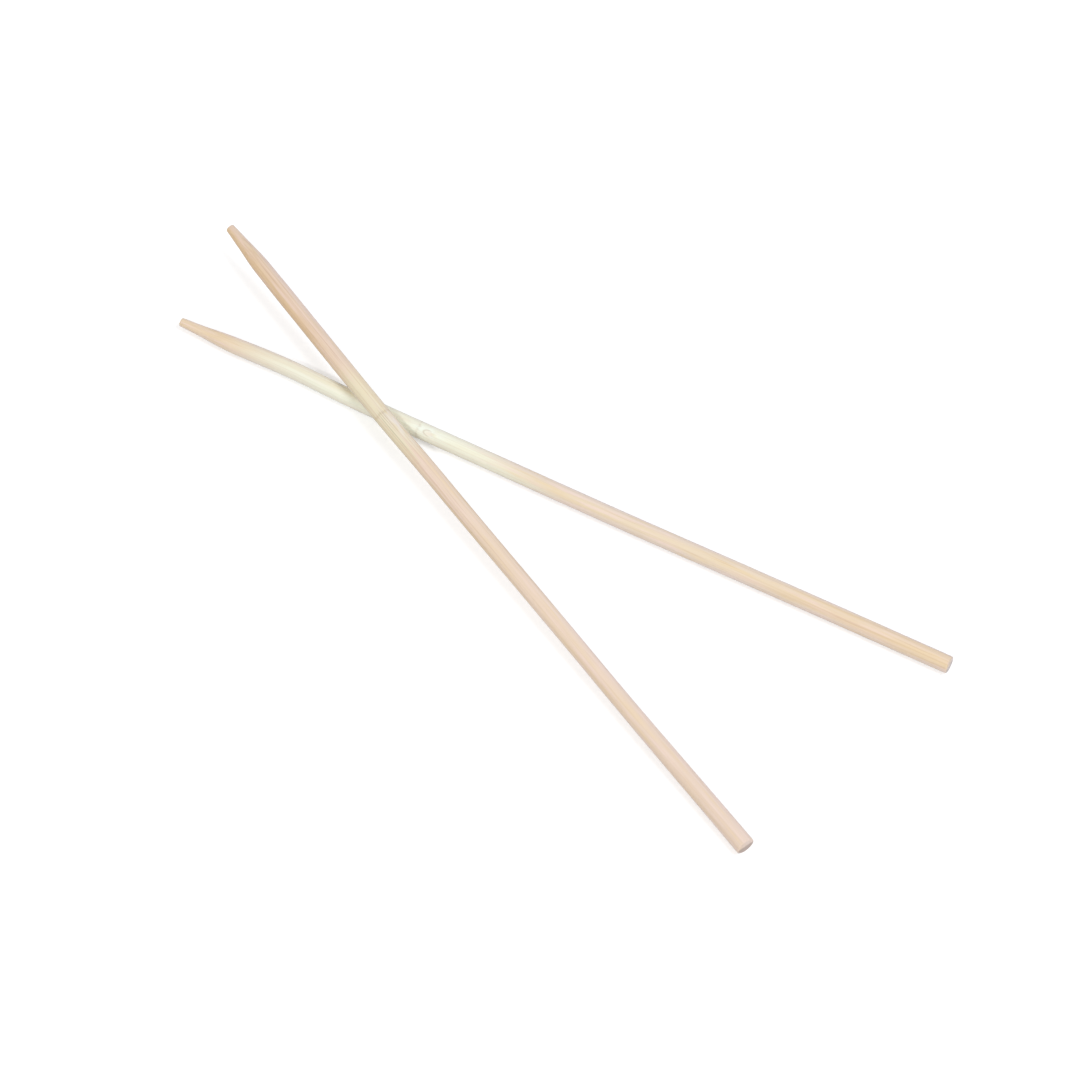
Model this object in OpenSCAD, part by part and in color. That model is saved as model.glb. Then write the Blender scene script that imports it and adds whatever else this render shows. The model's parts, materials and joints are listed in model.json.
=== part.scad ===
// A loose pair of round bamboo chopsticks, one lying flat and the other resting across it.
// Each stick is turned from one strip of bamboo: sawn butt, round shank, a node with a slight
// natural bend, a short lead and a pencil-like cone that ends in a blunt tip.

/* [Both chopsticks] */
// Length of a stick along its axis, from tip to butt
stick_len = 230; // [200:1:270]
// Diameter of the round shank
shank_d = 4.8; // [4:0.1:7]
// Edge radius of the sawn butt
butt_round = 0.5; // [0.1:0.05:0.7]

/* [Tip] */
// Diameter of the blunt tip
tip_d = 2.5; // [1.6:0.1:3.2]
// Edge radius of the tip
tip_round = 0.35; // [0.1:0.05:0.6]
// Length of the cone behind the tip
cone_len = 14.5; // [8:0.5:25]
// How much thinner the stick is where the cone ends than at the shank
shoulder_step = 0.4; // [0.2:0.05:0.7]
// Length of the lead from the end of the cone to the full shank
lead_len = 9.5; // [5:0.5:20]

/* [Bamboo nodes] */
// Height of the ring that a node leaves on the turned shank
ring_height = 0.02; // [0.02:0.01:0.15]
// Distance of the lower stick's node from its tip
lower_node_at = 73; // [50:1:110]
// Natural bend of the lower stick at its node, in degrees
lower_bend = 0.4; // [0:0.1:2]
// Distance of the upper stick's node from its tip
upper_node_at = 72; // [50:1:110]
// Natural bend of the upper stick at its node, in degrees
upper_bend = 1.1; // [0:0.1:2]

/* [Bud scar of the lower stick] */
// Length of the scar that a side bud leaves by the node
bud_len = 3.4; // [2:0.1:5]
// Depth of the scar
bud_depth = 0.18; // [0.1:0.01:0.3]
// Distance of the scar's middle from the node, towards the butt
bud_from_node = 3.9; // [3:0.1:8]
// Turn of the scar from the top of the stick, in degrees
bud_turn = 26; // [0:1:60]

/* [Upper butt] */
// How much the upper stick's diameter grows towards its butt
upper_swell = 0.45; // [0.1:0.05:0.8]
// Length of the upper stick over which it grows
upper_swell_len = 58; // [20:1:80]

/* [Lay] */
// Angle between the two sticks, seen from above
cross_angle = 25.8; // [18:0.1:60]
// Distance from the lower tip to the crossing
lower_cross = 57.5; // [35:0.5:160]
// Distance from the upper tip to the crossing
upper_cross = 65; // [35:1:95]
// Gap between the sticks where one rests on the other
rest_gap = 0.05; // [0.02:0.01:0.2]

/* [Hidden] */
$fn = 64;

shank_r = shank_d / 2;
tip_r = tip_d / 2;
shoulder_r = shank_r - shoulder_step / 2;
ring_r = shank_r + ring_height;
upper_butt_r = shank_r + upper_swell / 2;
shank_from = cone_len + lead_len;

// Steps that a rounded edge and a blended corner of the outline are drawn in
edge_step = 15;
blend_steps = 6;
// Share of the shorter neighbour that a blended corner takes up on each side
blend_share = 0.4;
blend_len = blend_share * min(cone_len, lead_len);

// A run ends a little before the node's centre, so that its end hides inside the ring's ball
// and clears the end of the other run at any bend
run_start_gap = 0.04;
function run_start(bend) = run_start_gap + ring_r * tan(bend / 2);

// Radius of the taper at a distance from the tip, without its rounded edges and corners
function taper_r(s) =
    s < cone_len ? tip_r + (shoulder_r - tip_r) * s / cone_len
    : s < shank_from ? shoulder_r + (shank_r - shoulder_r) * (s - cone_len) / lead_len
    : shank_r;

// Points of a curve that rounds the corner of the taper at a distance from the tip
function blended_corner(s) = [
    for (i = [0 : blend_steps])
        let (t = i / blend_steps, before = s - blend_len, after = s + blend_len)
            (1 - t) * (1 - t) * [taper_r(before), before]
            + 2 * t * (1 - t) * [taper_r(s), s]
            + t * t * [taper_r(after), after]
];

// Points of a rounded end edge, from the flat face at distance 0 out to the given radius
function rounded_edge(outer_r, edge_r) = [
    for (a = [0 : edge_step : 90])
        [outer_r - edge_r * (1 - sin(a)), edge_r * (1 - cos(a))]
];

// Turns an outline of [radius, distance from the end] round, with the end at end_at along +Z
module turned(outline, end_at) {
    rotate_extrude()
        polygon([for (p = outline) [p[0], end_at - p[1]]]);
}

// From the node to the tip, along +Z
module tip_run(node_at, bend) {
    outline = concat(
        [[0, 0]],
        rounded_edge(tip_r, tip_round),
        blended_corner(cone_len),
        blended_corner(shank_from),
        [[shank_r, node_at - run_start(bend)], [0, node_at - run_start(bend)]]
    );
    turned(outline, node_at);
}

// From the node to the butt, along +Z, growing by swell over its last swell_len
module butt_run(node_at, bend, swell, swell_len) {
    run_len = stick_len - node_at;
    outline = concat(
        [[0, 0]],
        rounded_edge(shank_r + swell / 2, butt_round),
        swell > 0 ? [[shank_r, swell_len]] : [],
        [[shank_r, run_len - run_start(bend)], [0, run_len - run_start(bend)]]
    );
    turned(outline, run_len);
}

// One stick with its node at the origin and its butt towards +X.
// The ball carries the two runs through the bend and shows as the node's fine ring.
module chopstick(node_at, bend, swell = 0, swell_len = 0) {
    union() {
        rotate([0, 90, 0]) butt_run(node_at, bend, swell, swell_len);
        rotate([0, 90, 0]) sphere(r = ring_r);
        rotate([0, 0, -bend]) rotate([0, -90, 0]) tip_run(node_at, bend);
    }
}

// The shallow oval hollow of a bud scar, cut by a ball that is as long as the scar at the surface
module bud_scar() {
    ball_r = pow(bud_len / 2, 2) / (2 * bud_depth) + bud_depth / 2;
    rotate([bud_turn, 0, 0])
        translate([bud_from_node, 0, shank_r - bud_depth + ball_r])
            sphere(r = ball_r);
}

// Place on a stick's axis at a distance from its tip, in the stick's own plane
function on_axis(s, node_at, bend) =
    s < node_at ? (s - node_at) * [cos(bend), -sin(bend)] : [s - node_at, 0];

lower_cross_at = on_axis(lower_cross, lower_node_at, lower_bend);
upper_cross_at = on_axis(upper_cross, upper_node_at, upper_bend);
upper_reach = stick_len - upper_node_at - upper_cross_at[0];

// Height of one axis above the other where they cross, so that the round sides just clear
function axis_rise(lean) =
    (2 * ring_r + rest_gap) * sqrt(1 + pow(tan(lean) / sin(cross_angle), 2));

// Height of the upper butt's centre when its rounded edge stands on the floor
function upper_butt_z(lean) =
    (upper_butt_r - butt_round) * cos(lean) + butt_round * (1 - sin(lean));

// Lean of the upper stick, from its butt on the floor up over the lower stick
lean_rounds = 8;
function settled_lean(lean, rounds) =
    rounds < 1 ? lean
    : settled_lean(asin((ring_r + axis_rise(lean) - upper_butt_z(lean)) / upper_reach), rounds - 1);
upper_lean = settled_lean(0, lean_rounds);
upper_cross_z = ring_r + axis_rise(upper_lean);

// Place and half-width of a stick's round section, seen from above, with the lower node at 0.
// At an end the section is that of the face, and the edge is the round that reaches out from it.
function turn_by(p, angle) = [p[0] * cos(angle) - p[1] * sin(angle), p[0] * sin(angle) + p[1] * cos(angle)];
function lower_section(s, r, edge = 0) =
    let (angle = s < lower_node_at ? -lower_bend : 0)
        [on_axis(s, lower_node_at, lower_bend), r * [abs(sin(angle)), abs(cos(angle))] + [edge, edge]];
function upper_section(s, r, edge = 0) =
    let (
        angle = s < upper_node_at ? -cross_angle - upper_bend : -cross_angle,
        from_cross = on_axis(s, upper_node_at, upper_bend) - upper_cross_at
    )
        [
            lower_cross_at + turn_by([from_cross[0] * cos(upper_lean), from_cross[1]], -cross_angle),
            r * [abs(sin(angle)), abs(cos(angle))] + [edge, edge]
        ];
sections = [
    lower_section(tip_round, tip_r - tip_round, tip_round),
    lower_section(shank_from, shank_r),
    lower_section(stick_len - butt_round, shank_r - butt_round, butt_round),
    upper_section(tip_round, tip_r - tip_round, tip_round),
    upper_section(shank_from, shank_r),
    upper_section(stick_len - butt_round, upper_butt_r - butt_round, butt_round)
];

// Middle of the pair's box, seen from above
middle = [
    for (k = [0, 1])
        (min([for (p = sections) p[0][k] - p[1][k]]) + max([for (p = sections) p[0][k] + p[1][k]])) / 2
];

module lower_chopstick() {
    color("#EFE2CA")
        translate([-middle[0], -middle[1], ring_r])
            difference() {
                chopstick(lower_node_at, lower_bend);
                bud_scar();
            }
}

module upper_chopstick() {
    color("#E9D3BC")
        translate([lower_cross_at[0] - middle[0], lower_cross_at[1] - middle[1], upper_cross_z])
            rotate([0, 0, -cross_angle])
                rotate([0, upper_lean, 0])
                    translate([-upper_cross_at[0], -upper_cross_at[1], 0])
                        chopstick(upper_node_at, upper_bend, upper_swell, upper_swell_len);
}

lower_chopstick();
upper_chopstick();
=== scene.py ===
"""Looks of a loose pair of round bamboo chopsticks, one laid across the other on a white floor."""
import json
import math

import bpy
from mathutils import Matrix, Vector


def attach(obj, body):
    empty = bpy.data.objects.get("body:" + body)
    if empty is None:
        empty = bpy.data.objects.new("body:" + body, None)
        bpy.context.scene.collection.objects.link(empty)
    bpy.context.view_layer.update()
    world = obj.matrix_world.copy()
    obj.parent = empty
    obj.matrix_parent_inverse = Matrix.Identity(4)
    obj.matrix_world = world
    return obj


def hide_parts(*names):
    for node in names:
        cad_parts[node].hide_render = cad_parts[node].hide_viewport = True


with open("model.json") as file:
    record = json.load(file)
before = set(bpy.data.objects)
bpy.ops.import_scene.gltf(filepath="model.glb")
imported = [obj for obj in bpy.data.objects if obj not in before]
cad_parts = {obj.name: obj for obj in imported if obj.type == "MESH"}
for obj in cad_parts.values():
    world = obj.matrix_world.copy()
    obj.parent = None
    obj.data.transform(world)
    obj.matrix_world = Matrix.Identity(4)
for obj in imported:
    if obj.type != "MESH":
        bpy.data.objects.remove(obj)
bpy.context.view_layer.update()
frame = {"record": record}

MM = 0.001
MOUNTS = {mount["name"]: mount for mount in frame["record"]["mounts"]}

# Sizes that both sticks share, in metres
STICK_LENGTH = 230 * MM
SHANK_RADIUS = MOUNTS["lower_grip"]["dims"]["r_mm"] * MM
TIP_RADIUS = 1.25 * MM
TIP_ROUNDING = 0.35 * MM
CONE_LENGTH = 14.5 * MM
SHOULDER_RADIUS = SHANK_RADIUS - 0.2 * MM
LEAD_LENGTH = 9.5 * MM
BUTT_ROUNDING = 0.5 * MM

# How softly the outline turns from cone to lead, from lead to shank and into the butt's swell,
# and how softly a stick bends at its node
SHOULDER_BLEND = 0.25 * MM
SHANK_BLEND = 0.12 * MM
SWELL_BLEND = 12 * MM
BEND_BLEND = 16 * MM

# Wear of the butt's upper edge: its depth, and the heights over the axis where it begins and is full
BUTT_WEAR = 0.3 * MM
WEAR_FROM = 0.2 * MM
WEAR_FULL = 2.6 * MM

# Heights of the fine relief: uneven sanding, fibres, the node's ring and the groove beside it, and saw marks
UNEVEN_HEIGHT = 0.09 * MM
FIBRE_HEIGHT = 0.03 * MM
RING_HEIGHT = 0.02 * MM
GROOVE_DEPTH = 0.02 * MM
SAW_HEIGHT = 0.05 * MM

# The node's ring, in millimetres along the stick: the band in which its line wavers, its width, and the
# place and width of the groove after it
RING_STRAY = 1.2
RING_WIDTH = 0.6
GROOVE_AT = 1.0
GROOVE_WIDTH = 0.5

# What differs between the sticks, in metres and radians. Places are distances from the tip.
# A cone swell is how far the turned cone stands out from a true one, or in where it is negative.
# A bow is a gentle natural curve to the right, seen from the tip, or to the left where it is negative.
STICKS = {
    "lower": {
        "Node At": 73 * MM, "Bend": math.radians(0.4),
        "Cone At": 6 * MM, "Cone Length": 5 * MM, "Cone Swell": -0.14 * MM,
        "Butt Swell": 0.0, "Swell Length": 58 * MM,
        "Tip Bow At": 33 * MM, "Tip Bow Length": 14 * MM, "Tip Bow": -0.6 * MM,
        "Shank Bow At": 132 * MM, "Shank Bow Length": 38 * MM, "Shank Bow": 0.26 * MM,
        "Bud Depth": 0.18 * MM, "Seed": 3.0,
    },
    "upper": {
        "Node At": 72 * MM, "Bend": math.radians(1.1),
        "Cone At": 13.5 * MM, "Cone Length": 5 * MM, "Cone Swell": 0.12 * MM,
        "Butt Swell": 0.225 * MM, "Swell Length": 58 * MM,
        "Tip Bow At": 93 * MM, "Tip Bow Length": 14 * MM, "Tip Bow": -0.14 * MM,
        "Shank Bow At": 184 * MM, "Shank Bow Length": 28 * MM, "Shank Bow": 0.23 * MM,
        "Bud Depth": 0.0, "Seed": 11.0,
    },
}

# The bud scar beside the lower stick's node: its place after the node, half sizes and turn from the top.
# Its raised lip lies outside the rim, as shares of the scar's reach and depth.
BUD_AFTER_NODE = 3.9 * MM
BUD_HALF_LENGTH = 1.7 * MM
BUD_HALF_WIDTH = 0.83 * MM
BUD_TURN = math.radians(26)
BUD_LIP_AT = 1.15
BUD_LIP_WIDTH = 0.25
BUD_LIP_HEIGHT = 0.15

# Columns round a stick, and rows of its mesh from the tip's centre over the side to the butt's centre
COLUMNS = 90
ROWS = {
    "tip face": 10,
    "tip edge": 7,
    "tip side": 270,
    "node side": 170,
    "butt side": 550,
    "butt edge": 12,
    "butt face": 20,
}
NODE_ZONE_BEFORE = 5 * MM
NODE_ZONE_AFTER = 11 * MM
MERGE_DISTANCE = 0.001 * MM


def srgb(code):
    """A colour written as six hex digits, as the linear values that a shader takes."""
    levels = [int(code[k:k + 2], 16) / 255 for k in (0, 2, 4)]
    return [c / 12.92 if c <= 0.04045 else ((c + 0.055) / 1.055) ** 2.4 for c in levels] + [1.0]


class Wire:
    """An output in a node tree. Arithmetic on it adds Math nodes to the tree."""

    def __init__(self, tree, socket):
        self.tree = tree
        self.socket = socket

    def __add__(self, other):
        return maths("ADD", self, other)

    def __radd__(self, other):
        return maths("ADD", other, self)

    def __sub__(self, other):
        return maths("SUBTRACT", self, other)

    def __rsub__(self, other):
        return maths("SUBTRACT", other, self)

    def __mul__(self, other):
        return maths("MULTIPLY", self, other)

    def __rmul__(self, other):
        return maths("MULTIPLY", other, self)

    def __truediv__(self, other):
        return maths("DIVIDE", self, other)


def feed(tree, socket, value):
    """Links a wire to an input, or sets the input to a plain value."""
    if isinstance(value, Wire):
        tree.links.new(value.socket, socket)
    else:
        socket.default_value = value


def add(tree, kind, settings=None, inputs=None):
    """A new node, with its settings and its inputs, which are named or numbered."""
    node = tree.nodes.new(kind)
    for name, value in (settings or {}).items():
        setattr(node, name, value)
    for name, value in (inputs or {}).items():
        feed(tree, node.inputs[name], value)
    return node


def out(node, name=0):
    """One output of a node as a wire."""
    return Wire(node.id_data, node.outputs[name])


def maths(operation, *values):
    """A Math node on numbers and wires, at least one of them a wire."""
    tree = next(value.tree for value in values if isinstance(value, Wire))
    return out(add(tree, "ShaderNodeMath", {"operation": operation}, dict(enumerate(values))))


def clamped(value):
    """A wire held between 0 and 1."""
    return maths("MINIMUM", maths("MAXIMUM", value, 0.0), 1.0)


def bell(value, middle, width):
    """1 at the middle, falling smoothly to 0 a few widths away."""
    offset = (value - middle) / width
    return maths("EXPONENT", offset * offset * -1.0)


def ramp(value, start, end):
    """0 up to start, 1 from end on, and smooth between them. Start may be larger than end."""
    node = add(value.tree, "ShaderNodeMapRange", {"interpolation_type": "SMOOTHSTEP"},
               {"Value": value, "From Min": start, "From Max": end})
    return out(node)


def vector(tree, x, y, z):
    """A vector wire from three numbers or wires."""
    return out(add(tree, "ShaderNodeCombineXYZ", None, {"X": x, "Y": y, "Z": z}))


def parts(wire):
    """The X, Y and Z of a vector wire."""
    node = add(wire.tree, "ShaderNodeSeparateXYZ", None, {"Vector": wire})
    return [out(node, axis) for axis in "XYZ"]


def noise(place, along, across, seed, detail=2.0):
    """Noise from 0 to 1, with its own scale per millimetre along the stick and across it."""
    x, y, z = parts(place)
    stretched = vector(place.tree, x * along + seed, y * across, z * across)
    return out(add(place.tree, "ShaderNodeTexNoise", None,
                   {"Vector": stretched, "Scale": 1.0, "Detail": detail}))


def new_tree(name, kind, inputs, outputs):
    """A node group with named inputs and outputs, given as name: socket kind."""
    tree = bpy.data.node_groups.new(name, kind)
    for names, way in ((inputs, "INPUT"), (outputs, "OUTPUT")):
        for label, socket_kind in names.items():
            tree.interface.new_socket(label, in_out=way, socket_type="NodeSocket" + socket_kind)
    source = tree.nodes.new("NodeGroupInput")
    sink = tree.nodes.new("NodeGroupOutput")
    return tree, {label: out(source, label) for label in inputs}, sink


def stick_side(size, row):
    """Distance from the tip, radius of the outline and how far an end is cut, at a row of the mesh."""
    progress = {}
    start = 0
    for name, count in ROWS.items():
        progress[name] = clamped((row - start) / count)
        start += count
    quarter = math.pi / 2
    node_from = size["Node At"] - NODE_ZONE_BEFORE
    node_to = size["Node At"] + NODE_ZONE_AFTER
    along = (
        TIP_ROUNDING * (1.0 - maths("COSINE", progress["tip edge"] * quarter))
        + progress["tip side"] * (node_from - TIP_ROUNDING)
        + progress["node side"] * (node_to - node_from)
        + progress["butt side"] * (size["Length"] - BUTT_ROUNDING - node_to)
        + BUTT_ROUNDING * maths("SINE", progress["butt edge"] * quarter)
    )
    cone = TIP_RADIUS + along * ((SHOULDER_RADIUS - TIP_RADIUS) / CONE_LENGTH)
    lead = SHOULDER_RADIUS + (along - CONE_LENGTH) * ((SHANK_RADIUS - SHOULDER_RADIUS) / LEAD_LENGTH)
    taper = maths("SMOOTH_MIN", maths("SMOOTH_MIN", cone, lead, SHOULDER_BLEND), SHANK_RADIUS, SHANK_BLEND)
    into_swell = maths("SMOOTH_MAX", along - (size["Length"] - size["Swell Length"]), 0.0, SWELL_BLEND)
    cone_swell = bell(along, size["Cone At"], size["Cone Length"]) * size["Cone Swell"]
    radius = taper + cone_swell + into_swell * (size["Butt Swell"] / size["Swell Length"])
    butt_radius = SHANK_RADIUS + size["Butt Swell"] - BUTT_ROUNDING
    inset = (
        TIP_ROUNDING * (1.0 - maths("SINE", progress["tip edge"] * quarter))
        + (TIP_RADIUS - TIP_ROUNDING) * (1.0 - progress["tip face"])
        + BUTT_ROUNDING * (1.0 - maths("COSINE", progress["butt edge"] * quarter))
        + butt_radius * progress["butt face"]
    )
    cut = maths("MAXIMUM", 1.0 - progress["tip edge"], progress["butt edge"])
    return along, maths("MAXIMUM", radius - inset, 0.0), cut


def butt_worn(size, along, up):
    """How far the butt is worn back at a place: only near its end, and more towards its top."""
    at_end = ramp(along, size["Length"] - 2 * BUTT_ROUNDING, size["Length"])
    return at_end * ramp(up, WEAR_FROM, WEAR_FULL) * BUTT_WEAR


def turn_of(place):
    """Turn about a stick's axis, from its top towards its right-hand side as seen from the tip."""
    _, side, up = parts(place)
    return maths("ARCTAN2", side * -1.0, up)


def ring_wander(place, seed):
    """How far the node ring's line strays along the stick, in millimetres."""
    return (noise(place, along=0.0, across=0.7, seed=seed) - 0.5) * RING_STRAY


def bud_reach(place, node_at):
    """Distance from the bud scar's middle, 1 at its rim, and the part of it that runs along the stick."""
    along = (parts(place)[0] - (node_at + BUD_AFTER_NODE / MM)) / (BUD_HALF_LENGTH / MM)
    across = (turn_of(place) - BUD_TURN) * (SHANK_RADIUS / BUD_HALF_WIDTH)
    return maths("SQRT", along * along + across * across), along


def surface_relief(tree, size):
    """Height of the worked surface over the turned outline: fibres, node ring, bud scar and saw marks."""
    place = out(add(tree, "GeometryNodeInputNamedAttribute", {"data_type": "FLOAT_VECTOR"},
                    {"Name": "grain"}))
    cut = out(add(tree, "GeometryNodeInputNamedAttribute", {"data_type": "FLOAT"}, {"Name": "cut"}))
    along = parts(place)[0]
    seed = size["Seed"]
    uneven = (noise(place, along=0.018, across=0.28, seed=seed, detail=1.0) - 0.5) * UNEVEN_HEIGHT
    fibres = (noise(place, along=0.04, across=2.4, seed=seed) - 0.5) * FIBRE_HEIGHT
    past_node = along - size["Node At"] / MM - ring_wander(place, seed)
    groove = bell(past_node, GROOVE_AT, GROOVE_WIDTH) * GROOVE_DEPTH
    ring = bell(past_node, 0.0, RING_WIDTH) * RING_HEIGHT - groove
    reach, _ = bud_reach(place, size["Node At"] / MM)
    lip = bell(reach, BUD_LIP_AT, BUD_LIP_WIDTH) * BUD_LIP_HEIGHT
    bud = (lip - maths("MAXIMUM", 1.0 - reach * reach, 0.0)) * size["Bud Depth"]
    saw = (noise(place, along=0.0, across=3.0, seed=seed) - 0.5) * SAW_HEIGHT * cut
    return (uneven + fibres + ring + bud) * (1.0 - cut) + saw


# Inputs of the tree that makes a stick's form: its sizes, its seed and its material
FORM_INPUTS = {
    "Length": "Float", "Node At": "Float", "Bend": "Float",
    "Cone At": "Float", "Cone Length": "Float", "Cone Swell": "Float",
    "Butt Swell": "Float", "Swell Length": "Float",
    "Tip Bow At": "Float", "Tip Bow Length": "Float", "Tip Bow": "Float",
    "Shank Bow At": "Float", "Shank Bow Length": "Float", "Shank Bow": "Float",
    "Bud Depth": "Float", "Seed": "Float", "Material": "Material",
}


def chopstick_form():
    """A tree that turns one stick about the X axis, its butt's middle at the origin and its tip at -X."""
    tree, size, sink = new_tree("chopstick form", "GeometryNodeTree", FORM_INPUTS, {"Mesh": "Geometry"})
    rows = sum(ROWS.values())
    grid = add(tree, "GeometryNodeMeshGrid", None,
               {"Size X": 1.0, "Size Y": 1.0, "Vertices X": rows + 1, "Vertices Y": COLUMNS + 1})
    spread, round_share, _ = parts(out(add(tree, "GeometryNodeInputPosition")))
    along, radius, cut = stick_side(size, (spread + 0.5) * rows)
    turn = (round_share + 0.5) * (2 * math.pi)
    side = radius * maths("SINE", turn) * -1.0
    up = radius * maths("COSINE", turn) * -1.0

    to_node = maths("SMOOTH_MAX", size["Node At"] - along, 0.0, BEND_BLEND)
    bow = (
        bell(along, size["Tip Bow At"], size["Tip Bow Length"]) * size["Tip Bow"]
        + bell(along, size["Shank Bow At"], size["Shank Bow Length"]) * size["Shank Bow"]
    )
    x = along - size["Length"] + to_node * (1.0 - maths("COSINE", size["Bend"])) - butt_worn(size, along, up)
    y = side + to_node * maths("SINE", size["Bend"]) - bow

    mesh = out(grid, "Mesh")
    grain = vector(tree, along / MM, side / MM, up / MM)
    for name, kind, value in (("grain", "FLOAT_VECTOR", grain), ("cut", "FLOAT", cut)):
        mesh = out(add(tree, "GeometryNodeStoreNamedAttribute", {"data_type": kind, "domain": "POINT"},
                       {"Geometry": mesh, "Name": name, "Value": value}))
    mesh = out(add(tree, "GeometryNodeSetPosition", None,
                   {"Geometry": mesh, "Position": vector(tree, x, y, up)}))
    mesh = out(add(tree, "GeometryNodeMergeByDistance", None,
                   {"Geometry": mesh, "Distance": MERGE_DISTANCE}))
    normal = out(add(tree, "GeometryNodeInputNormal"))
    raised = add(tree, "ShaderNodeVectorMath", {"operation": "SCALE"},
                 {"Vector": normal, "Scale": surface_relief(tree, size)})
    mesh = out(add(tree, "GeometryNodeSetPosition", None, {"Geometry": mesh, "Offset": out(raised)}))
    mesh = out(add(tree, "GeometryNodeSetShadeSmooth", None, {"Geometry": mesh}))
    mesh = out(add(tree, "GeometryNodeRealizeInstances", None, {"Geometry": mesh}))
    mesh = out(add(tree, "GeometryNodeSetMaterial", None,
                   {"Geometry": mesh, "Material": size["Material"]}))
    feed(tree, sink.inputs["Mesh"], mesh)
    return tree


def stick_place(butt):
    """Where a stick lies: its X axis leaves the butt's mount and its Y axis is level."""
    forward = Vector(butt["axis"]).normalized()
    level = Vector((0, 0, 1)).cross(forward).normalized()
    up = forward.cross(level)
    turned = Matrix((forward, level, up)).transposed().to_4x4()
    return Matrix.Translation(butt["pos_m"]) @ turned


def make_stick(name, form, material):
    """One finished chopstick, in place of its solid."""
    carrier = bpy.data.objects.new(name + " form", bpy.data.meshes.new(name + " form"))
    bpy.context.scene.collection.objects.link(carrier)
    modifier = carrier.modifiers.new("form", "NODES")
    modifier.node_group = form
    values = dict(STICKS[name], Length=STICK_LENGTH, Material=material)
    for item in form.interface.items_tree:
        if item.in_out == "INPUT":
            modifier[item.identifier] = values[item.name]
    evaluated = carrier.evaluated_get(bpy.context.evaluated_depsgraph_get())
    mesh = bpy.data.meshes.new_from_object(evaluated)
    bpy.data.objects.remove(carrier)
    mesh.transform(stick_place(MOUNTS[name + "_butt"]))
    stick = bpy.data.objects.new(name + "_bamboo_stick", mesh)
    bpy.context.scene.collection.objects.link(stick)
    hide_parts(name + "_chopstick")
    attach(stick, "root")


# Levels of the noise at which a mark begins and at which it is full
FLECK_LEVELS = (0.66, 0.80)
GRAIN_LEVELS = (0.46, 0.70)
ROSY_LEVELS = (0.50, 0.68)
YELLOW_LEVELS = (0.48, 0.32)
RING_LEVELS = (0.22, 0.50)
HIGHLIGHT_LEVELS = (0.30, 0.60)
VEIN_LEVELS = (0.50, 0.64)


def fibre_group():
    """Grain of bamboo along the whole stick: streaks, fine fibres, short dark flecks and soft patches.

    Inner And Sheen is 0 about one turn of the stick and rises to 1 away from it: partly the culm's inner
    side, partly a painted cool sheen on the rims.
    """
    tree, given, sink = new_tree(
        "bamboo fibres", "ShaderNodeTree",
        {"Place": "Vector", "Seed": "Float", "Untinted Turn": "Float", "Untinted Width": "Float"},
        {"Streak": "Float", "Fibre": "Float", "Fleck": "Float", "Patch": "Float", "Inner And Sheen": "Float"})
    place = given["Place"]
    seed = given["Seed"]
    fleck = noise(place, along=0.07, across=3.0, seed=seed + 9.0, detail=0.0)
    # The untinted turn; away from it lies the mauve tint that is partly the inner side and partly painted
    # cool sheen
    untinted_side = bell(turn_of(place), given["Untinted Turn"], given["Untinted Width"])
    marks = {
        "Streak": noise(place, along=0.008, across=0.75, seed=seed, detail=1.0),
        "Fibre": noise(place, along=0.022, across=2.6, seed=seed + 5.0, detail=3.0),
        "Fleck": ramp(fleck, *FLECK_LEVELS),
        "Patch": noise(place, along=0.08, across=1.1, seed=seed + 41.0),
        "Inner And Sheen": 1.0 - untinted_side,
    }
    for label, mark in marks.items():
        feed(tree, sink.inputs[label], mark)
    return tree


# The pale stretch about a node: how far its ends stray, in millimetres, and the shares of its lengths before
# and after the node up to which it is full. Its end after the node is longer on one side, so many radians
# wide, and the slant's level is the share of the slant by which the other sides fall short.
PALE_STRAY = 16.0
PALE_FULL_BEFORE = 0.5
PALE_FULL_AFTER = 0.4
SLANT_WIDTH = 0.6
SLANT_LEVEL = 0.3
# The ring's line: its place after the node, its width and its fine fraying, in millimetres
RING_LINE_AT = 0.5
RING_LINE_WIDTH = 0.4
RING_FRAY = 0.8
# Width of the painted highlight beside the node, and how far aside from it the veins begin and are full, in
# radians round the stick
HIGHLIGHT_WIDTH = 0.7
VEINS_ASIDE = (0.1, 0.6)
# Where the veins begin and are full, and where they are gone and still full, in millimetres after the node
VEINS_START = (-2.0, 2.0)
VEINS_END = (20.0, 6.0)


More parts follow.
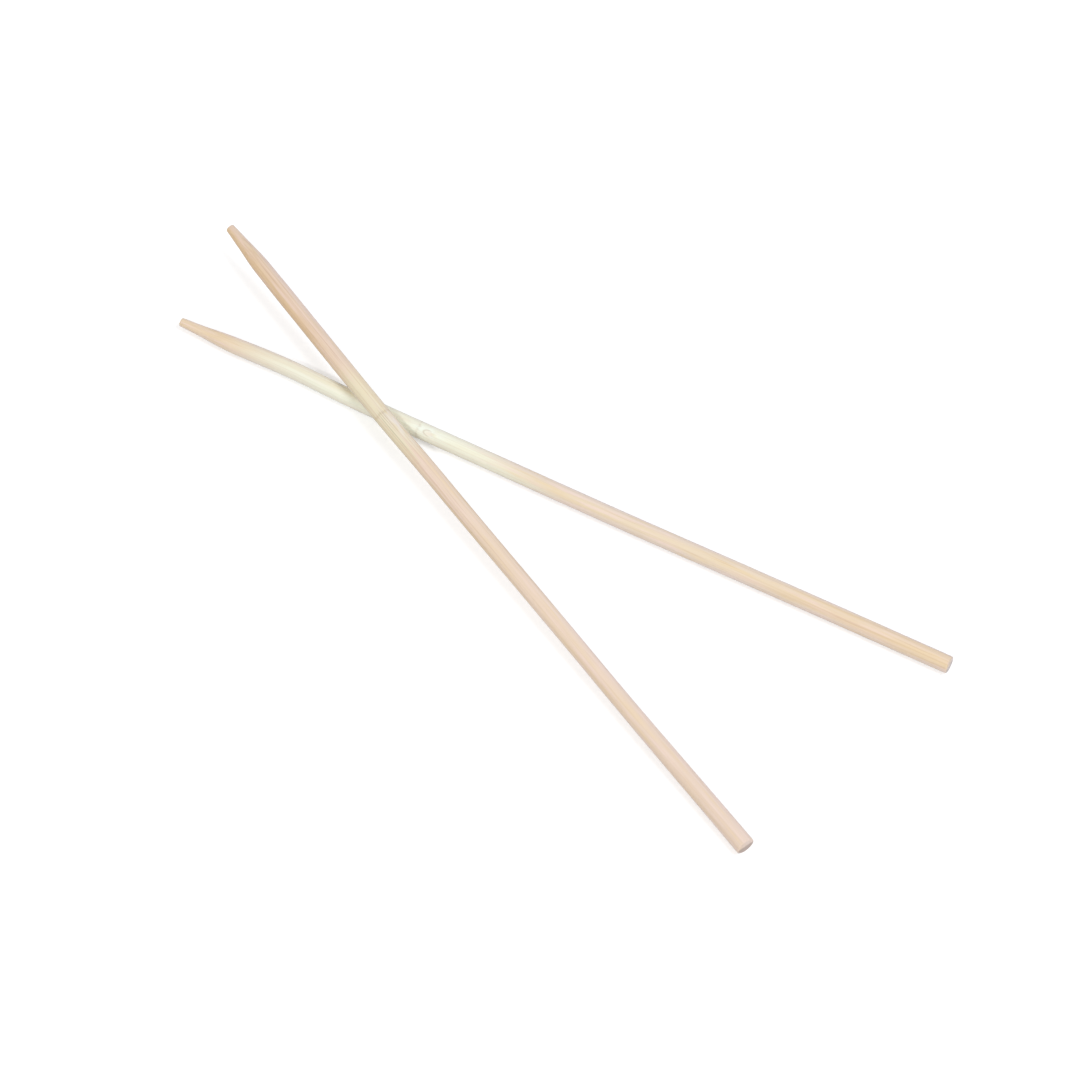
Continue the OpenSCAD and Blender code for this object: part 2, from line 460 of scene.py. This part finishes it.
def node_group():
    """Marks of a bamboo node: the pale stretch about it, its ring, the veins after it, and a painted
    highlight after it.
    """
    tree, given, sink = new_tree(
        "bamboo node", "ShaderNodeTree",
        {"Place": "Vector", "Seed": "Float", "Node At": "Float",
         "Pale Before": "Float", "Pale After": "Float", "Pale Slant": "Float", "Pale Turn": "Float",
         "Highlight At": "Float", "Highlight Length": "Float", "Highlight Turn": "Float"},
        {"Pale": "Float", "Ring": "Float", "Veins": "Float", "Painted Highlight": "Float"})
    place = given["Place"]
    seed = given["Seed"]
    past = parts(place)[0] - given["Node At"]

    ragged = past + (noise(place, along=0.02, across=1.2, seed=seed) - 0.5) * PALE_STRAY
    before = ramp(ragged, given["Pale Before"] * -1.0, given["Pale Before"] * -PALE_FULL_BEFORE)
    slant = (bell(turn_of(place), given["Pale Turn"], SLANT_WIDTH) - SLANT_LEVEL) * given["Pale Slant"]
    after = ramp(ragged - slant, given["Pale After"], given["Pale After"] * PALE_FULL_AFTER)
    feed(tree, sink.inputs["Pale"], before * after)

    fray = (noise(place, along=0.0, across=4.0, seed=seed + 2.0) - 0.5) * RING_FRAY
    broken = ramp(noise(place, along=0.0, across=1.6, seed=seed + 3.0), *RING_LEVELS)
    ring = bell(past - (ring_wander(place, seed) + fray), RING_LINE_AT, RING_LINE_WIDTH) * broken
    feed(tree, sink.inputs["Ring"], ring)

    # A painted highlight: a pale patch after the node, on one turn of the stick, standing for light that
    # falls there
    aside = turn_of(place) - given["Highlight Turn"]
    patchy = ramp(noise(place, along=0.25, across=0.8, seed=seed + 21.0), *HIGHLIGHT_LEVELS)
    painted_highlight = bell(past, given["Highlight At"], given["Highlight Length"]) * bell(aside, 0.0, HIGHLIGHT_WIDTH) * patchy
    feed(tree, sink.inputs["Painted Highlight"], painted_highlight)

    lines = ramp(noise(place, along=0.03, across=3.0, seed=seed + 7.0, detail=1.0), *VEIN_LEVELS)
    after_node = ramp(past, *VEINS_START) * ramp(past, *VEINS_END)
    feed(tree, sink.inputs["Veins"], lines * ramp(aside, *VEINS_ASIDE) * after_node)
    return tree


# Shares of the bud scar's reach: the middle and width of the rim's arc, a tan mark that is partly the scar's
# own colour and partly painted shadow of the dent, where along the stick the arc begins and is full, and
# where the heart begins and is full
BUD_RIM_SHADE_AT = 0.95
BUD_RIM_SHADE_WIDTH = 0.18
BUD_RIM_SHADE_ALONG = (0.5, -0.4)
BUD_HEART = (0.95, 0.5)


def bud_group():
    """Marks of the bud scar: the tan arc on the tip's side of its rim, partly the scar's colour and partly
    painted shadow of the dent, and the pinkish heart.
    """
    tree, given, sink = new_tree("bud scar", "ShaderNodeTree", {"Place": "Vector", "Node At": "Float"},
                                 {"Rim And Shade": "Float", "Heart": "Float"})
    reach, along = bud_reach(given["Place"], given["Node At"])
    feed(tree, sink.inputs["Rim And Shade"], bell(reach, BUD_RIM_SHADE_AT, BUD_RIM_SHADE_WIDTH) * ramp(along, *BUD_RIM_SHADE_ALONG))
    feed(tree, sink.inputs["Heart"], ramp(reach, *BUD_HEART))
    return tree


# A sawn end: how far cut it is where its tone begins and is full, and the heights over the axis at which that
# tone, end grain's own colour and painted shade on the face's lower half, is gone and full, in millimetres.
# Then the fibre bundles' scale per millimetre, and the distances from a bundle's middle where its dot begins
# and is full, as shares of a cell.
END_CUT = (0.35, 0.95)
END_TONE_AND_SHADE_HEIGHTS = (1.2, 0.0)
BUNDLE_SCALE = 1.7
BUNDLE_DOT = (0.42, 0.22)


def end_group():
    """A sawn end: its darker tone, end grain's own colour and painted shade, full on the face's lower half
    and fading out above the axis, and the fibre bundles' cut ends as dots on it.
    """
    tree, given, sink = new_tree("bamboo end grain", "ShaderNodeTree", {"Place": "Vector", "Cut": "Float"},
                                 {"Bundles": "Float", "Face Tone And Shade": "Float"})
    _, side, up = parts(given["Place"])
    flat = vector(tree, side, up, 0.0)
    cells = add(tree, "ShaderNodeTexVoronoi", {"voronoi_dimensions": "2D"},
                {"Vector": flat, "Scale": BUNDLE_SCALE})
    # End grain's tone with painted shade: full below the axis, gone a little above it
    face_tone_and_shade = ramp(given["Cut"], *END_CUT) * ramp(up, *END_TONE_AND_SHADE_HEIGHTS)
    feed(tree, sink.inputs["Bundles"], ramp(out(cells, "Distance"), *BUNDLE_DOT) * face_tone_and_shade)
    feed(tree, sink.inputs["Face Tone And Shade"], face_tone_and_shade)
    return tree


# Each stick's own colours, and where and how strongly they show. The highlight colour is a painted highlight
# beside the node;
# the end colour is end grain's own tone and painted shade on the lower half of the sawn face. Distances are
# in millimetres: the tip tone's run from the tip, those of the pale stretch and the painted highlight from
# the node. Turns go round the stick from its top. Grain, patches, veins, ring and inner_and_sheen are
# strengths; inner_and_sheen is partly the culm's inner side and partly painted cool sheen on the rims.
TONES = {
    "lower": {
        "shank": "E7D5B9", "butt": "E6CEAF", "tip": "E8D1B1", "end": "CDBCA4",
        "tip from": 14.0, "tip to": 26.0,
        "pale": "F0F0DB", "pale before": 62.0, "pale after": 41.0,
        "pale slant": 18.0, "pale turn": math.radians(80),
        "painted_highlight": "F4FBF2", "highlight at": 3.0, "highlight length": 5.0, "highlight turn": math.radians(15),
        "untinted turn": math.radians(28), "untinted width": math.radians(50), "inner_and_sheen": 0.6, "inner_and_sheen at tip": 0.3,
        "grain": 0.5, "grain at butt": 1.0, "patches": 1.35, "veins": 0.08, "ring": 0.21,
    },
    "upper": {
        "shank": "E9D2B9", "butt": "E4CDB8", "tip": "E2C39B", "end": "B39A80",
        "tip from": 35.0, "tip to": 62.0,
        "pale": "E9DEBF", "pale before": 20.0, "pale after": 20.0,
        "pale slant": 0.0, "pale turn": 0.0,
        "painted_highlight": "EDE4DF", "highlight at": 4.5, "highlight length": 9.0, "highlight turn": math.radians(-28),
        "untinted turn": math.radians(75), "untinted width": math.radians(75), "inner_and_sheen": 0.3, "inner_and_sheen at tip": 0.6,
        "grain": 1.15, "grain at butt": 0.55, "patches": 1.0, "veins": 0.48, "ring": 0.26,
    },
}

# Tints that grain and marks lay over the tones of both sticks, the inner side's and the bud rim's with
# painted light in them: the colour, and its share at a strength of 1
TINTS = {
    "inner side and sheen": ("E3D6DA", 1.0),
    "rosy patch": ("EFD7CE", 0.42),
    "yellow patch": ("E8CFA2", 0.30),
    "streak": ("DFC7A0", 0.40),
    "fibre": ("CBAA84", 0.34),
    "fleck": ("B48F68", 0.20),
    "vein": ("9C9270", 1.0),
    "node ring": ("A98C66", 1.0),
    "bud heart": ("EBD9C6", 0.45),
    "bud rim and shade": ("B89B78", 0.45),
    "fibre bundle": ("97785A", 0.25),
}
HIGHLIGHT_SHARE = 0.75
END_TONE_AND_SHADE_SHARE = 0.9
# Share of the tint of the inner side and painted sheen, and of the patches, that the pale stretch takes away
PALE_CLEARS = 0.7

# Distances from the tip over which the butt's tone and the butt's strength of grain come in, in millimetres
BUTT_TONE = (150.0, 225.0)
BUTT_GRAIN = (120.0, 180.0)

# Roughness of sanded bamboo and what the fibres add to it, its gloss, and the cool sheen of its fine nap
ROUGHNESS = 0.56
FIBRE_ROUGHNESS = 0.18
GLOSS = 0.35
SHEEN = 0.7
SHEEN_ROUGHNESS = 0.35
SHEEN_TINT = (0.55, 0.62, 0.85, 1.0)
# The bump of the grain: its depth in metres, its strength, and how far each mark stands up or lies sunk in it
BUMP_DEPTH = 0.05 * MM
BUMP_STRENGTH = 0.5
FIBRE_STANDS = 0.7
STREAK_STANDS = 0.3
FLECK_SINKS = 0.5


def mixed(base, other, share):
    """Two colours mixed by a share that changes over the surface."""
    tree = share.tree
    node = add(tree, "ShaderNodeMix", {"data_type": "RGBA"})
    feed(tree, node.inputs["Factor"], share)
    feed(tree, node.inputs[6], base)
    feed(tree, node.inputs[7], other)
    return out(node, 2)


def tinted(colour, name, strength):
    """A colour with one of the tints laid over it."""
    code, share = TINTS[name]
    return mixed(colour, srgb(code), strength * share)


def between(start, end, progress):
    """A value that goes from start to end as the progress goes from 0 to 1."""
    return start + progress * (end - start)


def bamboo(name, groups):
    """The finish of one stick: its own tones along the length, under the grain, node and end marks."""
    tones = TONES[name]
    stick = STICKS[name]
    node_at = stick["Node At"] / MM
    material = bpy.data.materials.new(name + " bamboo")
    material.use_nodes = True
    tree = material.node_tree
    shader = tree.nodes["Principled BSDF"]
    place = out(add(tree, "ShaderNodeAttribute", {"attribute_name": "grain"}), "Vector")
    cut = out(add(tree, "ShaderNodeAttribute", {"attribute_name": "cut"}), "Fac")
    along = parts(place)[0]
    fibres = add(tree, "ShaderNodeGroup", {"node_tree": groups["fibres"]},
                 {"Place": place, "Seed": stick["Seed"],
                  "Untinted Turn": tones["untinted turn"], "Untinted Width": tones["untinted width"]})
    node = add(tree, "ShaderNodeGroup", {"node_tree": groups["node"]},
               {"Place": place, "Seed": stick["Seed"], "Node At": node_at,
                "Pale Before": tones["pale before"], "Pale After": tones["pale after"],
                "Pale Slant": tones["pale slant"], "Pale Turn": tones["pale turn"],
                "Highlight At": tones["highlight at"], "Highlight Length": tones["highlight length"],
                "Highlight Turn": tones["highlight turn"]})
    ends = add(tree, "ShaderNodeGroup", {"node_tree": groups["ends"]}, {"Place": place, "Cut": cut})
    fibre = out(fibres, "Fibre")
    streak = out(fibres, "Streak")
    fleck = out(fibres, "Fleck")
    patch = out(fibres, "Patch")
    pale = out(node, "Pale")

    near_tip = ramp(along, tones["tip to"], tones["tip from"])
    colour = mixed(srgb(tones["shank"]), srgb(tones["butt"]), ramp(along, *BUTT_TONE))
    colour = mixed(colour, srgb(tones["tip"]), near_tip)
    colour = mixed(colour, srgb(tones["pale"]), pale)

    off_pale = 1.0 - pale * PALE_CLEARS
    inner_and_sheen = between(tones["inner_and_sheen"], tones["inner_and_sheen at tip"], near_tip)
    patches = off_pale * tones["patches"]
    grain = between(tones["grain"], tones["grain at butt"], ramp(along, *BUTT_GRAIN))
    # Mauve tint away from one turn: partly the culm's inner side, partly painted cool sheen on the rims
    colour = tinted(colour, "inner side and sheen", out(fibres, "Inner And Sheen") * off_pale * inner_and_sheen)
    colour = tinted(colour, "rosy patch", ramp(patch, *ROSY_LEVELS) * patches)
    colour = tinted(colour, "yellow patch", ramp(patch, *YELLOW_LEVELS) * patches)
    colour = tinted(colour, "streak", ramp(streak, *GRAIN_LEVELS) * grain)
    colour = tinted(colour, "fibre", ramp(fibre, *GRAIN_LEVELS) * grain)
    colour = tinted(colour, "fleck", fleck * grain)

    # The painted highlight beside the node
    colour = mixed(colour, srgb(tones["painted_highlight"]), out(node, "Painted Highlight") * HIGHLIGHT_SHARE)
    colour = tinted(colour, "vein", out(node, "Veins") * tones["veins"])
    colour = tinted(colour, "node ring", out(node, "Ring") * tones["ring"])
    if stick["Bud Depth"]:
        bud = add(tree, "ShaderNodeGroup", {"node_tree": groups["bud"]},
                  {"Place": place, "Node At": node_at})
        colour = tinted(colour, "bud heart", out(bud, "Heart"))
        # The rim's tan arc: partly the scar's own colour, partly painted shadow of the dent on the tip's side
        colour = tinted(colour, "bud rim and shade", out(bud, "Rim And Shade"))
    # End grain's darker tone with painted shade on the lower half of the sawn face
    colour = mixed(colour, srgb(tones["end"]), out(ends, "Face Tone And Shade") * END_TONE_AND_SHADE_SHARE)
    colour = tinted(colour, "fibre bundle", out(ends, "Bundles"))
    feed(tree, shader.inputs["Base Color"], colour)

    feed(tree, shader.inputs["Roughness"], ROUGHNESS + fibre * FIBRE_ROUGHNESS)
    shader.inputs["Specular IOR Level"].default_value = GLOSS
    shader.inputs["Sheen Weight"].default_value = SHEEN
    shader.inputs["Sheen Roughness"].default_value = SHEEN_ROUGHNESS
    shader.inputs["Sheen Tint"].default_value = SHEEN_TINT

    height = fibre * FIBRE_STANDS + streak * STREAK_STANDS - fleck * FLECK_SINKS
    bump = add(tree, "ShaderNodeBump", None,
               {"Strength": BUMP_STRENGTH, "Distance": BUMP_DEPTH, "Height": height})
    feed(tree, shader.inputs["Normal"], out(bump))
    return material


def seen_directly(tree):
    """1 for rays that show the background itself: from the camera, a gloss or a glass."""
    path = add(tree, "ShaderNodeLightPath")
    seen = maths("MAXIMUM", out(path, "Is Camera Ray"), out(path, "Is Glossy Ray"))
    return maths("MAXIMUM", seen, out(path, "Is Transmission Ray"))


# The floor's half width in metres, its grey, and the glow that lifts it to white where it is seen
FLOOR_HALF = 3.0
FLOOR_GREY = 0.8
FLOOR_GLOW = 0.38
# Strength of the world's light on the pair, and distance of the lamps in metres
WORLD_LIGHT = 0.54
LAMP_DISTANCE = 1.6
# Each lamp's direction from the pair, its power in watts, its width in metres and its colour
LAMPS = {
    "right": ((0.45, 0.10, 0.88), 9.8, 0.7, (0.96, 0.99, 1.05)),
    "front": ((0.0, -0.61, 0.79), 6.4, 0.16, (1.0, 1.0, 1.0)),
}


def make_floor():
    """A white floor that keeps the shadow and looks white where no shadow falls."""
    mesh = bpy.data.meshes.new("floor")
    corners = [(x * FLOOR_HALF, y * FLOOR_HALF, 0.0) for x, y in ((-1, -1), (1, -1), (1, 1), (-1, 1))]
    mesh.from_pydata(corners, [], [(0, 1, 2, 3)])
    floor = bpy.data.objects.new("floor", mesh)
    bpy.context.scene.collection.objects.link(floor)
    material = bpy.data.materials.new("white floor")
    material.use_nodes = True
    tree = material.node_tree
    shader = tree.nodes["Principled BSDF"]
    shader.inputs["Base Color"].default_value = (FLOOR_GREY, FLOOR_GREY, FLOOR_GREY, 1.0)
    shader.inputs["Roughness"].default_value = 1.0
    shader.inputs["Specular IOR Level"].default_value = 0.0
    shader.inputs["Emission Color"].default_value = (1.0, 1.0, 1.0, 1.0)
    feed(tree, shader.inputs["Emission Strength"], seen_directly(tree) * FLOOR_GLOW)
    mesh.materials.append(material)


def make_light():
    """A white world and two lamps above the pair: a wide soft one on the right, a smaller one in front."""
    world = bpy.data.worlds.new("white studio")
    bpy.context.scene.world = world
    world.use_nodes = True
    tree = world.node_tree
    background = tree.nodes["Background"]
    background.inputs["Color"].default_value = (1.0, 1.0, 1.0, 1.0)
    feed(tree, background.inputs["Strength"], between(WORLD_LIGHT, 1.0, seen_directly(tree)))
    for name, (direction, watts, width, colour) in LAMPS.items():
        data = bpy.data.lights.new(name + " lamp", "AREA")
        data.energy = watts
        data.color = colour
        data.shape = "DISK"
        data.size = width
        lamp = bpy.data.objects.new(name + " lamp", data)
        bpy.context.scene.collection.objects.link(lamp)
        towards = Vector(direction).normalized()
        lamp.location = towards * LAMP_DISTANCE
        lamp.rotation_mode = "QUATERNION"
        lamp.rotation_quaternion = towards.to_track_quat("Z", "Y")
        lamp.visible_camera = False


# The camera looks at the target from this far off, turned from the front towards the butts, and from above.
# The lens and the sensor are in millimetres.
CAMERA_TARGET = Vector((2.51, 7.48, 0.0)) * MM
CAMERA_DISTANCE = 1350 * MM
CAMERA_AZIMUTH = math.radians(27.22)
CAMERA_ELEVATION = math.radians(60.38)
CAMERA_LENS = 169.75
SENSOR_WIDTH = 36.0


def make_camera():
    """The photograph's view: from above, off the butts' side."""
    data = bpy.data.cameras.new("camera")
    data.lens = CAMERA_LENS
    data.sensor_width = SENSOR_WIDTH
    camera = bpy.data.objects.new("camera", data)
    bpy.context.scene.collection.objects.link(camera)
    level = math.cos(CAMERA_ELEVATION)
    back = Vector((math.sin(CAMERA_AZIMUTH) * level, -math.cos(CAMERA_AZIMUTH) * level,
                   math.sin(CAMERA_ELEVATION)))
    camera.location = CAMERA_TARGET + back * CAMERA_DISTANCE
    camera.rotation_mode = "QUATERNION"
    camera.rotation_quaternion = back.to_track_quat("Z", "Y")
    bpy.context.scene.camera = camera


bpy.context.scene.view_settings.view_transform = "Standard"
make_camera()
make_light()
make_floor()
form = chopstick_form()
groups = {"fibres": fibre_group(), "node": node_group(), "bud": bud_group(), "ends": end_group()}
for name in STICKS:
    make_stick(name, form, bamboo(name, groups))
